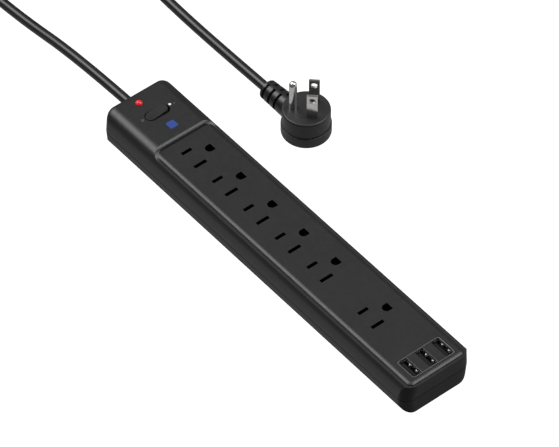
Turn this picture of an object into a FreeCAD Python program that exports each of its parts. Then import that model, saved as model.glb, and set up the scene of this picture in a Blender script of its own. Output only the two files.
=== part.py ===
"""Six-outlet power strip with three USB ports, a rocker switch and a flat angled plug.

Frame: millimetres, +X along the strip from its cord end to its USB end, +Y towards the ground
holes, +Z up. The origin is the middle of the strip's underside, where it rests on a table.
"""
import FreeCAD, Part
import math
import os

V = FreeCAD.Vector
X_AXIS, Y_AXIS, Z_AXIS = V(1, 0, 0), V(0, 1, 0), V(0, 0, 1)

# Housing
LENGTH = 275.2            # cord end to the rim at the USB end
WIDTH = 49.0              # at the parting line
HEAD_TOP = 26.8           # height of the switch end
PANEL_TOP = 24.65         # height of the socket panel
RIM_TOP = 23.45           # height of the narrow rim round the panel
SPLIT_Z = 12.0            # parting line between the upper shell and the lower cover
TOP_R, BOTTOM_R = 8.0, 8.9            # long edges, above and below
SIDE_LEAN = 10.0          # degrees that the side leans in where it meets the upper edge's round
PLAN_R, PLAN_R_LOW = 6.7, 8.8         # corners seen from above, at the parting line and underneath
PLAN_R_CORD, PLAN_R_USB = 8.5, 10.5   # the same at the top of the cord end and the USB end
USB_DRAFT = 1.1           # how far the USB end leans in from the rim to the parting line
CORD_DRAFT = 0.5          # how far the cord end leans in from the parting line to the top
HEAD_END_R = 3.5          # round of the cord end's upper edge
LOW_END_R = 1.0           # round of both ends' lower edges
SEAM_DEPTH, SEAM_HEIGHT = 0.35, 0.5   # the shadow gap along the parting line
WALL = 2.0
X_CORD, X_USB = -LENGTH / 2, LENGTH / 2
X_USB_LOW = X_USB - USB_DRAFT

# Socket panel and its recess
STEP_X = -91.55           # foot of the step between the switch end and the panel
LIP_R = 3.0               # round of that step
RAMP_SLOPE = 45.0         # steepest slope, in degrees, of the ramp from the step's sides to the rim
OPEN_HALF, OPEN_END = 20.4, 136.1
OPEN_R_HEAD, OPEN_R_USB = 4.7, 3.4    # its corners at the step and at the USB end
PANEL_HALF, PANEL_END, PANEL_START = 20.2, 135.9, -97.0
PANEL_CORNER_R = 3.2
PANEL_EDGE_R, PANEL_EDGE_CUT = 3.7, 1.4    # its edge's round, and how much of it the sides cut off
PANEL_BOTTOM = 20.2
LEDGE_TOP, LEDGE_UNDER, LEDGE_HALF = 20.1, 17.6, 18.6

# Outlets: a narrow slot, a wide slot 12.7 further along X, and a ground hole between them
FIRST_SLOT_X = -82.15
OUTLET_PITCH = 28.5
LAST_GAP = 44.88          # from the fifth outlet to the sixth, which leaves room for a large plug
BLADE_GAP = 12.7
SLOT_Y, GROUND_Y = -4.95, 6.95
SLOT_WIDTH, NARROW_SLOT, WIDE_SLOT = 2.3, 7.1, 8.8
GROUND_R, GROUND_FLAT = 2.72, 2.5
OUTLET_XS = [FIRST_SLOT_X + OUTLET_PITCH * i for i in range(5)]
OUTLET_XS.append(OUTLET_XS[-1] + LAST_GAP)

# USB ports
BEZEL_X0, BEZEL_X1, BEZEL_Y0, BEZEL_Y1 = 117.5, 132.6, -15.1, 15.7
PORT_X, PORT_YS = 125.2, (-11.5, 0.3, 12.1)
PORT_LENGTH, PORT_WIDTH = 12.5, 4.9
PORT_TIN = 0.3
PORT_SUNK = 0.9           # how far the tin stays below the panel's top
USB_BOARD_Z = 10.4

# Rocker switch
ROCKER_X = -115.65
ROCKER_HALF, ROCKER_R = 7.55, 3.35
WELL_HALF, WELL_R = 8.5, 3.85
PIVOT_Z = HEAD_TOP - 3.6
TILT = 8.0                # the rocker stands this far to one side in either position
ROCKER_LOW, ROCKER_HIGH = 18.5, HEAD_TOP + 1.05
AXLE_R, AXLE_HALF, AXLE_CLEARANCE = 1.0, 5.3, 0.05
LEVER_Z, LEVER_TILT, LEVER_RIB_R = 12.6, 5.0, 0.5

# Indicator lamp
LAMP_X, LAMP_Y, LAMP_R = -128.2, -3.7, 2.2
LAMP_PROUD, LAMP_BALL_R = 0.5, 2.45   # how far its side stands out, and its dome's radius

# Screws and hanging slots
SCREW_XS, SCREW_Y, POST_R = (-128.0, -68.0, 39.0, 112.0), 16.5, 2.8
KEYHOLE_XS = (-104.0, 104.0)
KEYHOLE_R, KEYHOLE_SLOT_R, KEYHOLE_RUN, KEYHOLE_ROOF = 4.25, 2.1, 6.5, 5.4

# Cord
CORD_D = 6.3
CORD_Z = 13.55            # height of the cord where it leaves the end wall
CORD_TAIL = 11.0          # how far its jacket goes on inside the housing
BUSHING_R = 3.85
COIL_X, COIL_Y = -303.0, 37.7
COIL_R_OUT, COIL_R_IN = 41.5, 31.0    # centrelines of the outermost and innermost turns
COIL_LAYERS, LAYER_RISE, COIL_LOW = 4, 6.4, 4.5
TIE_T, TIE_W = 1.0, 9.0
STRIP_ROUTE = [(X_CORD, 0.0, CORD_Z), (-191.0, -0.2, 12.6), (-247.0, -2.6, 5.6),
               (COIL_X, COIL_Y - COIL_R_OUT, COIL_LOW)]

# Plug, lying on its back with its blades up
PLUG_X, PLUG_Y, PLUG_R, PLUG_H = -69.3, 74.0, 14.5, 19.0
PLUG_SEAM, PLUG_NECK = 0.7, 0.9       # the groove between its halves: its height, and its depth in the body
BACK_H, BACK_R = 7.6, 15.1
RELIEF_X0, RELIEF_R0, RELIEF_R1 = -104.8, 6.3, 7.6
BLADE_W, BLADE_T, BLADE_L = 6.35, 1.52, 17.8
PIN_R, PIN_L = 2.38, 20.9
PIN_GAP = 11.9            # from the blades' line to the ground pin
BLADE_MID = 4.1           # from the plug's axis to the blades' line
PLUG_ROUTE = [(RELIEF_X0, PLUG_Y, RELIEF_R0 + 0.1), (-146.0, 74.5, 4.7), (-189.0, 75.4, 3.35),
              (-232.0, 76.9, 4.2), (-266.0, 79.4, 16.6),
              (COIL_X, COIL_Y + COIL_R_OUT, COIL_LOW + (COIL_LAYERS - 1) * LAYER_RISE)]


def box(x0, x1, y0, y1, z0, z1):
    return Part.makeBox(x1 - x0, y1 - y0, z1 - z0, V(x0, y0, z0))


def cylinder(x, y, z0, z1, r):
    return Part.makeCylinder(r, z1 - z0, V(x, y, z0))


def arc_points(cx, cy, r, start, end):
    """Three points of an arc in the XY plane, given in degrees."""
    angles = [math.radians(a) for a in (start, (start + end) / 2, end)]
    return [V(cx + r * math.cos(a), cy + r * math.sin(a), 0) for a in angles]


def joined_arcs(arcs):
    """A closed wire of arcs, with a straight line from each to the next where they don't touch."""
    edges = []
    for arc, following in zip(arcs, arcs[1:] + arcs[:1]):
        edges.append(Part.Arc(*arc).toShape())
        if (following[0] - arc[2]).Length > 1e-6:
            edges.append(Part.LineSegment(arc[2], following[0]).toShape())
    return Part.Wire(edges)


def rounded_wire(x0, x1, y0, y1, z, r_low, r_high=None):
    """A rectangle at height z whose corners have radius r_low at x0 and r_high at x1."""
    r_high = r_low if r_high is None else r_high
    wire = joined_arcs([arc_points(x0 + r_low, y0 + r_low, r_low, 180, 270),
                        arc_points(x1 - r_high, y0 + r_high, r_high, 270, 360),
                        arc_points(x1 - r_high, y1 - r_high, r_high, 0, 90),
                        arc_points(x0 + r_low, y1 - r_low, r_low, 90, 180)])
    wire.translate(V(0, 0, z))
    return wire


def rounded_block(x0, x1, y0, y1, z0, z1, r_low, r_high=None):
    face = Part.Face(rounded_wire(x0, x1, y0, y1, z0, r_low, r_high))
    return face.extrude(V(0, 0, z1 - z0))


def pill(x, half, r, z0, z1):
    """A slot shape along Y, half its length from the middle to each end."""
    return rounded_block(x - r, x + r, -half, half, z0, z1, r * 0.9999)


def profile_prism(x0, x1, inset):
    """The housing's cross-section, inset by a wall's thickness, run along X.

    Each side is a wide arc, upright at the parting line, that runs into the upper edge's round.
    """
    lean = math.radians(SIDE_LEAN)
    low_r, top_r = BOTTOM_R - inset, TOP_R - inset
    side_r = TOP_R + (HEAD_TOP - TOP_R - SPLIT_Z) / math.sin(lean)
    top_y = WIDTH / 2 - side_r + (side_r - TOP_R) * math.cos(lean)
    low_y, side_y = WIDTH / 2 - BOTTOM_R, WIDTH / 2 - side_r
    right = [arc_points(low_y, BOTTOM_R, low_r, -90, 0),
             arc_points(side_y, SPLIT_Z, side_r - inset, 0, SIDE_LEAN),
             arc_points(top_y, HEAD_TOP - TOP_R, top_r, SIDE_LEAN, 90)]
    left = [[V(-p.x, p.y, 0) for p in arc[::-1]] for arc in right[::-1]]
    wire = joined_arcs(right + left)
    wire.rotate(V(0, 0, 0), V(1, 1, 1), 120)
    wire.translate(V(x0, 0, 0))
    return Part.Face(wire).extrude(V(x1 - x0, 0, 0))


def round_edges(shape, radius, wanted):
    """Rounds the edges that wanted(edge) picks."""
    return shape.makeFillet(radius, [e for e in shape.Edges if wanted(e)])


def in_band(edge, axis, value, tolerance=0.02):
    """True if the whole edge lies at one value along an axis."""
    b = edge.BoundBox
    low, high = {"x": (b.XMin, b.XMax), "y": (b.YMin, b.YMax), "z": (b.ZMin, b.ZMax)}[axis]
    return abs(low - value) < tolerance and abs(high - value) < tolerance


def plan_loft(low, high):
    """The housing's plan between two heights, each as (height, ends in X, corner radii at them).

    It is a hair wider than the cross-section, so that the two never only touch.
    """
    half = WIDTH / 2 + 0.03
    wires = [rounded_wire(*ends, -half, half, z, *radii) for z, ends, radii in (low, high)]
    return Part.makeLoft(wires, True, True)


SEAM_PLAN = (SPLIT_Z, (X_CORD, X_USB_LOW), (PLAN_R, PLAN_R))


def upper_outside():
    top = HEAD_TOP + 1
    top_x = X_USB_LOW + USB_DRAFT * (top - SPLIT_Z) / (RIM_TOP - SPLIT_Z)
    plan = plan_loft(SEAM_PLAN, (top, (X_CORD + CORD_DRAFT, top_x), (PLAN_R_CORD, PLAN_R_USB)))
    body = profile_prism(X_CORD - 5, X_USB + 5, 0).common(plan)

    def end_edge(edge):
        at_end = edge.BoundBox.XMax < X_CORD + PLAN_R + 1 and edge.BoundBox.YLength > 5
        return at_end and in_band(edge, "z", HEAD_TOP)
    return round_edges(body, HEAD_END_R, end_edge)


def lower_outside():
    plan = plan_loft((0, (X_CORD, X_USB_LOW), (PLAN_R_LOW, PLAN_R_LOW)), SEAM_PLAN)
    body = profile_prism(X_CORD - 5, X_USB + 5, 0).common(plan)
    body = round_edges(body, LOW_END_R, lambda e: in_band(e, "z", 0) and e.BoundBox.YLength > 20)
    d, half = SEAM_DEPTH, WIDTH / 2
    inside = rounded_block(X_CORD + d, X_USB_LOW - d, d - half, half - d, 0, HEAD_TOP, PLAN_R - d)
    seam = box(X_CORD - 1, X_USB + 1, -half - 1, half + 1, SPLIT_Z - SEAM_HEIGHT, SPLIT_Z).cut(inside)
    return body.cut(seam)


def cord_hole():
    """The hole in the end wall for the bushing, half in each shell."""
    return Part.makeCylinder(BUSHING_R + 0.05, 12, V(X_CORD - 2, 0, CORD_Z), X_AXIS)


def above_rim():
    """What is cut away over the rim, with a ramp that starts as the step's round and ends hollow."""
    turn = math.radians(RAMP_SLOPE)
    start_x = STEP_X - LIP_R
    knee_z = HEAD_TOP - LIP_R * (1 - math.cos(turn))
    foot_r = (knee_z - RIM_TOP) / (1 - math.cos(turn))
    foot_x = start_x + (LIP_R + foot_r) * math.sin(turn)
    round_part = arc_points(start_x, HEAD_TOP - LIP_R, LIP_R, 90, 90 - RAMP_SLOPE)
    hollow_part = arc_points(foot_x, RIM_TOP + foot_r, foot_r, 270 - RAMP_SLOPE, 270)
    beyond, above = X_USB + 5, HEAD_TOP + 5
    sides = Part.makePolygon([hollow_part[2], V(beyond, RIM_TOP, 0), V(beyond, above, 0),
                              V(start_x, above, 0), round_part[0]])
    outline = Part.Wire([Part.Arc(*a).toShape() for a in (round_part, hollow_part)] + sides.Edges)
    outline.rotate(V(0, 0, 0), X_AXIS, 90)
    outline.translate(V(0, -30, 0))
    return Part.Face(outline).extrude(V(0, 60, 0))


def lip_round():
    """What rounding takes off the top of the step, along its straight run and its two corners."""
    r, corner_y = LIP_R, OPEN_HALF - OPEN_R_HEAD
    z = HEAD_TOP
    arc = Part.Arc(V(-r, 0, z), V(-r + r * math.sqrt(0.5), 0, z - r + r * math.sqrt(0.5)), V(0, 0, z - r))
    outer = [(0, z - r), (0.5, z - r), (0.5, z + 3), (-r, z + 3), (-r, z)]
    sides = Part.makePolygon([V(along, 0, height) for along, height in outer])
    section = Part.Face(Part.Wire([arc.toShape()] + sides.Edges))
    section.translate(V(STEP_X, 0, 0))
    pieces = []
    run = section.copy()
    run.translate(V(0, -corner_y, 0))
    pieces.append(run.extrude(V(0, 2 * corner_y, 0)))
    for side in (-1, 1):
        start = section.copy()
        start.translate(V(0, side * corner_y, 0))
        pieces.append(start.revolve(V(STEP_X + OPEN_R_HEAD, side * corner_y, 0), Z_AXIS, -90 * side))
    return pieces[0].fuse(pieces[1:])


def panel_blank(grow):
    """The socket panel without its holes, or the room for it in the shell."""
    half, corner_r = PANEL_HALF + grow, PANEL_CORNER_R + grow
    x0, x1, z0, z1 = PANEL_START - grow, PANEL_END + grow, PANEL_BOTTOM - grow, PANEL_TOP + grow
    cut = PANEL_EDGE_CUT
    crowned = rounded_block(x0 - cut, x1 + cut, -half - cut, half + cut, z0, z1, corner_r + cut)
    crowned = round_edges(crowned, PANEL_EDGE_R + grow, lambda e: in_band(e, "z", z1))
    return crowned.common(rounded_block(x0, x1, -half, half, z0, z1, corner_r))


def inner_room(z0, z1, x1=X_USB_LOW - WALL):
    """The space inside the walls, between two heights."""
    half = WIDTH / 2 - WALL
    plan = rounded_block(X_CORD + WALL, X_USB_LOW - WALL, -half, half, z0, z1, PLAN_R - WALL)
    return profile_prism(X_CORD + WALL, x1, WALL).common(plan)


def make_upper_shell():
    shell = upper_outside()
    opening = rounded_block(STEP_X, OPEN_END, -OPEN_HALF, OPEN_HALF, LEDGE_TOP, HEAD_TOP + 5,
                            OPEN_R_HEAD, OPEN_R_USB)
    shell = shell.cut(opening).cut(above_rim()).cut(lip_round())
    ledge_hole = rounded_block(STEP_X, OPEN_END - 2.3, -LEDGE_HALF, LEDGE_HALF, LEDGE_UNDER - 1,
                               LEDGE_TOP + 1, 2.5)
    under_ledge = inner_room(0, LEDGE_UNDER)
    under_head = inner_room(0, HEAD_TOP, STEP_X)
    shell = shell.cut(ledge_hole).cut(under_ledge).cut(under_head).cut(panel_blank(0.1))
    for x in SCREW_XS:
        top = HEAD_TOP - WALL + 0.5 if x < STEP_X else LEDGE_UNDER + 1.0
        for y in (-SCREW_Y, SCREW_Y):
            post = cylinder(x, y, SPLIT_Z, top, POST_R)
            shell = shell.fuse(post).cut(cylinder(x, y, SPLIT_Z - 1, SPLIT_Z + 5.5, 1.3))
    shell = shell.cut(pill(ROCKER_X, WELL_HALF, WELL_R, HEAD_TOP - 5, HEAD_TOP + 5))
    shell = shell.cut(cylinder(LAMP_X, LAMP_Y, HEAD_TOP - 5, HEAD_TOP + 5, LAMP_R + 0.05))
    return shell.cut(cord_hole()).removeSplitter()


def keyhole(x, grow, z0, z1):
    round_end = cylinder(x, 0, z0, z1, KEYHOLE_R + grow)
    slot_r = KEYHOLE_SLOT_R + grow
    slot = box(x, x + KEYHOLE_RUN, -slot_r, slot_r, z0, z1)
    return round_end.fuse([slot, cylinder(x + KEYHOLE_RUN, 0, z0, z1, slot_r)])


def make_lower_cover():
    cover = lower_outside().cut(inner_room(0, HEAD_TOP))
    for x in SCREW_XS:
        for y in (-SCREW_Y, SCREW_Y):
            cover = cover.fuse(cylinder(x, y, 1.2, SPLIT_Z, POST_R))
            cover = cover.cut(cylinder(x, y, -1, SPLIT_Z + 1, 1.6))
            cover = cover.cut(cylinder(x, y, -1, 3.0, 2.9))
    for x in KEYHOLE_XS:
        pocket = keyhole(x, 3.0, 1.0, KEYHOLE_ROOF + 1.0).cut(keyhole(x, 1.8, 2.0, KEYHOLE_ROOF))
        cover = cover.fuse(pocket).cut(keyhole(x, 0, -1, 2.5))
    return cover.cut(cord_hole()).removeSplitter()


def ground_hole(x, z0, z1):
    """A D-shaped hole, round towards the slots and flat away from them."""
    r = GROUND_R
    square = box(x - r, x + r, GROUND_Y, GROUND_Y + GROUND_FLAT, z0, z1)
    far_half = box(x - r, x + r, GROUND_Y, GROUND_Y + r + 1, z0, z1)
    return cylinder(x, GROUND_Y, z0, z1, r).cut(far_half).fuse(square)


def slot_box(x, length, z0, z1):
    return box(x - SLOT_WIDTH / 2, x + SLOT_WIDTH / 2, SLOT_Y - length / 2, SLOT_Y + length / 2, z0, z1)


def make_socket_panel():
    panel = panel_blank(0.0)
    z0, z1 = PANEL_BOTTOM - 1, PANEL_TOP + 1
    for x in OUTLET_XS:
        holes = [slot_box(x, NARROW_SLOT, z0, z1), slot_box(x + BLADE_GAP, WIDE_SLOT, z0, z1),
                 ground_hole(x + BLADE_GAP / 2, z0, z1)]
        panel = panel.cut(Part.makeCompound(holes))
    gap = 0.15
    x0, x1, y0, y1 = BEZEL_X0 - gap, BEZEL_X1 + gap, BEZEL_Y0 - gap, BEZEL_Y1 + gap
    return panel.cut(rounded_block(x0, x1, y0, y1, z0, z1, 1.2))


def make_usb_bezel():
    top = PANEL_TOP - 0.05
    bezel = rounded_block(BEZEL_X0, BEZEL_X1, BEZEL_Y0, BEZEL_Y1, PANEL_BOTTOM + 0.2, top, 1.0)
    for y in PORT_YS:
        half_x, half_y = PORT_LENGTH / 2 + PORT_TIN, PORT_WIDTH / 2 + PORT_TIN
        bezel = bezel.cut(box(PORT_X - half_x, PORT_X + half_x, y - half_y, y + half_y, 0, 30))
    return bezel


def make_port_shell(y):
    """A folded tin tube, open at the top, with two sprung dimples in each long wall."""
    z0, z1 = USB_BOARD_Z + 1.7, PANEL_TOP - PORT_SUNK
    half_x, half_y = PORT_LENGTH / 2, PORT_WIDTH / 2
    t = PORT_TIN - 0.02
    tube = box(PORT_X - half_x - t, PORT_X + half_x + t, y - half_y - t, y + half_y + t, z0, z1)
    tube = tube.cut(box(PORT_X - half_x, PORT_X + half_x, y - half_y, y + half_y, z0 - 1, z1 + 1))
    for dx in (-2.75, 2.75):
        for side in (-1, 1):
            dimple = Part.makeSphere(0.9, V(PORT_X + dx, y + side * (half_y + 0.45), z1 - 3.0))
            inside = box(PORT_X - half_x, PORT_X + half_x, y - half_y, y + half_y, z0, z1)
            tube = tube.fuse(dimple.common(inside))
    return tube


def make_port_tongue(y):
    """The insulator that fills the port's root and carries its contacts."""
    z0, z1 = USB_BOARD_Z + 1.7, PANEL_TOP - 1.4
    root = box(PORT_X - 6.1, PORT_X + 6.1, y - 2.3, y + 2.3, z0, z0 + 2.4)
    blade = box(PORT_X - 5.55, PORT_X + 5.55, y - 1.7, y + 0.1, z0 + 2.4, z1)
    return root.fuse(blade).removeSplitter()


def make_port_contacts(y):
    """Four gilt strips on the tongue's face."""
    z0, z1 = USB_BOARD_Z + 4.1, PANEL_TOP - 2.2
    xs = [PORT_X + dx for dx in (-3.5, -1.0, 1.0, 3.5)]
    return Part.makeCompound([box(x - 0.5, x + 0.5, y + 0.12, y + 0.37, z0, z1) for x in xs])


def make_usb_board():
    board = box(105.5, 132.6, -15.5, 15.5, USB_BOARD_Z, USB_BOARD_Z + 1.6)
    for y in (-SCREW_Y, SCREW_Y):
        board = board.cut(cylinder(SCREW_XS[-1], y, 0, 30, 3.2))
    return board


def make_usb_transformer():
    core = box(106.5, 115.5, -8, 4, USB_BOARD_Z + 1.7, USB_BOARD_Z + 8.4)
    winding = box(107.8, 114.2, -5.5, 1.5, USB_BOARD_Z + 1.7, USB_BOARD_Z + 9.2)
    return core.fuse(winding).removeSplitter()


def make_usb_capacitors():
    places = ((109.0, 7.2), (114.6, 7.2), (109.0, -10.9))
    return Part.makeCompound([cylinder(x, y, USB_BOARD_Z + 1.7, USB_BOARD_Z + 9.0, 2.5) for x, y in places])


def clip(x, y, half_gap, tin, width, z0, z1):
    """A U of spring brass that grips a blade or pin from both sides along X."""
    out = half_gap + tin
    floor = box(x - out, x + out, y - width / 2, y + width / 2, z0, z0 + tin)
    leaves = [box(x - out, x - half_gap, y - width / 2, y + width / 2, z0, z1),
              box(x + half_gap, x + out, y - width / 2, y + width / 2, z0, z1)]
    return floor.fuse(leaves)


def make_busbar(xs, clip_y, half_gap, width, strip_y0, strip_y1, z0, z1):
    """A brass strip along the outlets with one clip at each."""
    tin = 0.6
    x0, x1 = min(xs) - 3.5, max(xs) + 3.5
    bar = box(x0, x1, strip_y0, strip_y1, z0, z0 + tin)
    near, far = sorted((clip_y, (strip_y0 + strip_y1) / 2))
    for x in xs:
        tab = box(x - 1.4, x + 1.4, near, far, z0, z0 + tin)
        bar = bar.fuse([clip(x, clip_y, half_gap, tin, width, z0, z1), tab])
    return bar.removeSplitter()


def make_insulator_tray():
    """The open tray that holds the bus bars apart, with a rib across it between the outlets."""
    x0, x1, half, z0, z1 = -88.0, 95.5, 13.3, WALL + 0.1, 13.0
    tray = box(x0, x1, -half, half, z0, z1)
    tray = tray.cut(box(x0 + 1.2, x1 - 1.2, -half + 1.2, half - 1.2, z0 + 1.2, z1 + 1))
    for x in OUTLET_XS:
        tray = tray.fuse(box(x - 4.4, x - 3.2, -half, half, z0, 5.4))
        tray = tray.fuse(box(x + 16.2, x + 17.4, -half, half, z0, 5.4))
    lead_gap = box(x0 - 1, x0 + 2, -half + 1.2, half - 1.2, 6.0, z1 + 1)
    return tray.cut(lead_gap).removeSplitter()


def tilted(shape, z, degrees):
    """Turned about the X axis through the switch's middle line at height z."""
    shape.rotate(V(ROCKER_X, 0, z), X_AXIS, degrees)
    return shape


def make_rocker_button():
    button = pill(ROCKER_X, ROCKER_HALF, ROCKER_R, ROCKER_LOW, ROCKER_HIGH)
    button = round_edges(button, 0.5, lambda e: in_band(e, "z", ROCKER_HIGH))
    button = button.cut(Part.makeCylinder(AXLE_R, 12, V(ROCKER_X - 6, 0, PIVOT_Z), X_AXIS))
    button = button.cut(cylinder(ROCKER_X, 0, ROCKER_LOW - 1, PIVOT_Z - 1.4, 1.4))
    return tilted(button, PIVOT_Z, TILT)


def make_rocker_axle():
    return Part.makeCylinder(AXLE_R, 2 * AXLE_HALF, V(ROCKER_X - AXLE_HALF, 0, PIVOT_Z), X_AXIS)


def make_plunger():
    stem = cylinder(ROCKER_X, 0, 15.2, 20.0, 1.25)
    return tilted(stem.fuse(Part.makeSphere(1.25, V(ROCKER_X, 0, 15.25))).removeSplitter(), PIVOT_Z, TILT)


def make_plunger_spring():
    """A short coil spring between the plunger and the rocker, as a plain sleeve of its size."""
    sleeve = cylinder(ROCKER_X, 0, 20.05, 21.35, 1.1).cut(cylinder(ROCKER_X, 0, 19, 22, 0.7))
    return tilted(sleeve, PIVOT_Z, TILT)


def make_contact_lever():
    """The brass see-saw under the plunger, on a rib that rocks on the supply terminal."""
    bar = box(ROCKER_X - 2, ROCKER_X + 2, -7, 7, LEVER_Z, LEVER_Z + 0.8)
    pads = [cylinder(ROCKER_X, y, LEVER_Z - 0.7, LEVER_Z, 1.4) for y in (-5.6, 5.6)]
    rib = Part.makeCylinder(LEVER_RIB_R, 4, V(ROCKER_X - 2, 0, LEVER_Z), X_AXIS)
    return tilted(bar.fuse(pads + [rib]).removeSplitter(), LEVER_Z, -LEVER_TILT)


def make_switch_terminal(y, top):
    """A terminal strip that stands up through the switch's floor to a contact at its top."""
    head = cylinder(ROCKER_X, y, top - 0.6, top, 1.5)
    blade = box(ROCKER_X - 1.5, ROCKER_X + 1.5, y - 0.4, y + 0.4, 6.0, top - 0.6)
    return head.fuse(blade).removeSplitter()


def make_switch_housing():
    body = box(ROCKER_X - 6.5, ROCKER_X + 6.5, -10.5, 10.5, 9.0, HEAD_TOP - WALL - 0.1)
    body = round_edges(body, 1.0, lambda e: abs(e.BoundBox.ZLength - (HEAD_TOP - WALL - 9.1)) < 0.01)
    body = body.cut(pill(ROCKER_X, WELL_HALF + 0.35, WELL_R, 10.0, HEAD_TOP))
    bore_half, bore_r = AXLE_HALF + 0.1, AXLE_R + AXLE_CLEARANCE
    body = body.cut(Part.makeCylinder(bore_r, 2 * bore_half, V(ROCKER_X - bore_half, 0, PIVOT_Z), X_AXIS))
    for y in (0.0, 5.6):
        body = body.cut(box(ROCKER_X - 1.55, ROCKER_X + 1.55, y - 0.45, y + 0.45, 8, 11))
    return body


def make_indicator_lens():
    stem_top = HEAD_TOP + LAMP_PROUD
    stem = cylinder(LAMP_X, LAMP_Y, HEAD_TOP - WALL - 1.5, stem_top, LAMP_R)
    flange = cylinder(LAMP_X, LAMP_Y, HEAD_TOP - WALL - 1.5, HEAD_TOP - WALL - 0.05, LAMP_R + 0.9)
    low = math.sqrt(LAMP_BALL_R ** 2 - LAMP_R ** 2)
    dome = Part.makeSphere(LAMP_BALL_R, V(LAMP_X, LAMP_Y, stem_top - low))
    dome = dome.common(cylinder(LAMP_X, LAMP_Y, stem_top, HEAD_TOP + 5, LAMP_R))
    return stem.fuse([flange, dome]).removeSplitter()


def make_indicator_lamp():
    bulb = Part.makeSphere(1.6, V(LAMP_X, LAMP_Y, 21.4))
    return cylinder(LAMP_X, LAMP_Y, 20.0, 21.4, 1.6).fuse(bulb).removeSplitter()


def make_cord_bushing():
    sleeve = Part.makeCylinder(BUSHING_R, WALL + 0.1, V(X_CORD, 0, CORD_Z), X_AXIS)
    flange = Part.makeCylinder(5.6, 1.6, V(X_CORD + WALL + 0.1, 0, CORD_Z), X_AXIS)
    bore = Part.makeCylinder(CORD_D / 2 + 0.02, 20, V(X_CORD - 1, 0, CORD_Z), X_AXIS)
    return sleeve.fuse(flange).cut(bore).removeSplitter()


def make_cord_tail():
    """The end of the cord's jacket inside the housing."""
    return Part.makeCylinder(CORD_D / 2, CORD_TAIL, V(X_CORD, 0, CORD_Z), X_AXIS)


def make_cord_clamp():
    """A saddle that bears down on the jacket, over a post of the lower cover."""
    z0, z1 = CORD_Z - 1.0, CORD_Z + 4.6
    saddle = box(X_CORD + 6.5, X_CORD + 10.5, -8.5, 8.5, z0, z1)
    saddle = saddle.cut(Part.makeCylinder(CORD_D / 2 + 0.03, 20, V(X_CORD, 0, CORD_Z), X_AXIS))
    saddle = saddle.cut(box(X_CORD + 5, X_CORD + 12, -CORD_D / 2 - 0.03, CORD_D / 2 + 0.03, z0 - 1, CORD_Z))
    for y in (-6.2, 6.2):
        saddle = saddle.cut(cylinder(X_CORD + 8.5, y, 0, 30, 1.2))
    return saddle


def make_clamp_base():
    """The block under the jacket that the clamp's screws go into."""
    base = box(X_CORD + 6.0, X_CORD + 11.0, -8.5, 8.5, WALL + 0.05, CORD_Z - 1.1)
    base = base.cut(Part.makeCylinder(CORD_D / 2 + 0.03, 20, V(X_CORD, 0, CORD_Z), X_AXIS))
    for y in (-6.2, 6.2):
        base = base.cut(cylinder(X_CORD + 8.5, y, 6, 30, 0.95))
    return base


def screw(x, y, z_head, z_tip, head_r, shank_r, up):
    """A pan-head screw along Z; up is 1 if its tip points up."""
    head_h = 1.6
    low, high = sorted((z_head, z_head + up * head_h))
    head = cylinder(x, y, low, high, head_r)
    drive = box(x - head_r * 0.6, x + head_r * 0.6, y - 0.35, y + 0.35, z_head - 0.7, z_head + 0.7)
    across = box(x - 0.35, x + 0.35, y - head_r * 0.6, y + head_r * 0.6, z_head - 0.7, z_head + 0.7)
    low, high = sorted((z_head + up * head_h, z_tip))
    return head.cut(drive.fuse(across)).fuse(cylinder(x, y, low, high, shank_r)).removeSplitter()


def make_housing_screws():
    return Part.makeCompound([screw(x, y, 1.3, SPLIT_Z + 5.0, 2.7, 1.28, 1)
                              for x in SCREW_XS for y in (-SCREW_Y, SCREW_Y)])


def make_clamp_screws():
    x, head_z = X_CORD + 8.5, CORD_Z + 6.25
    return Part.makeCompound([screw(x, y, head_z, 6.3, 1.9, 0.93, -1) for y in (-6.2, 6.2)])


def make_surge_board():
    return box(-107.0, -94.7, -12.8, 12.8, 7.0, 8.4)


def make_varistor(y):
    """A disc of zinc oxide on two legs."""
    disc = Part.makeCylinder(4.6, 3.2, V(-103.5, y, 14.0), X_AXIS)
    disc = disc.makeFillet(0.8, disc.Edges)
    legs = [cylinder(-101.9, y + dy, 8.5, 11.0, 0.35) for dy in (-2.2, 2.2)]
    return disc.fuse(legs).removeSplitter()


def make_thermal_fuse():
    body = Part.makeCylinder(1.7, 14, V(-96.5, -7, 10.3), Y_AXIS)
    return body.fuse([cylinder(-96.5, y, 8.5, 10.3, 0.4) for y in (-6.4, 6.4)]).removeSplitter()


def route_runs(route):
    """Straight runs joined by tangent arcs, each arc as large as its two runs allow."""
    points = [V(*p) for p in route]
    edges, radii, length, here = [], [], 0.0, points[0]
    for before, corner, after in zip(points, points[1:], points[2:]):
        into, out = corner - before, after - corner
        reach = 0.45 * min(into.Length, out.Length)
        turn = into.getAngle(out)
        radius = reach / math.tan(turn / 2)
        start = corner - into.normalize() * reach
        end = corner + out.normalize() * reach
        inward = (out - into).normalize()
        middle = corner + inward * (radius / math.cos(turn / 2) - radius)
        edges += [Part.LineSegment(here, start).toShape(), Part.Arc(start, middle, end).toShape()]
        length += (start - here).Length + radius * turn
        radii.append(radius)
        here = end
    edges.append(Part.LineSegment(here, points[-1]).toShape())
    return Part.Wire(edges), radii, length + (points[-1] - here).Length


def tube(name, route, diameter):
    """A round tube along a route; prints its bends and compares its volume with its length."""
    wire, radii, length = route_runs(route)
    start, direction = V(*route[0]), V(*route[1]) - V(*route[0])
    section = Part.Wire(Part.makeCircle(diameter / 2, start, direction))
    solid = Part.Solid(wire.makePipeShell([section], True, False))
    if solid.Volume < 0:
        solid.reverse()
    expected = math.pi * (diameter / 2) ** 2 * length
    print(f"{name}: length {length:.1f}, bend radii {[round(r) for r in radii]}, "
          f"volume {solid.Volume:.0f} of {expected:.0f}")
    return solid


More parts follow.
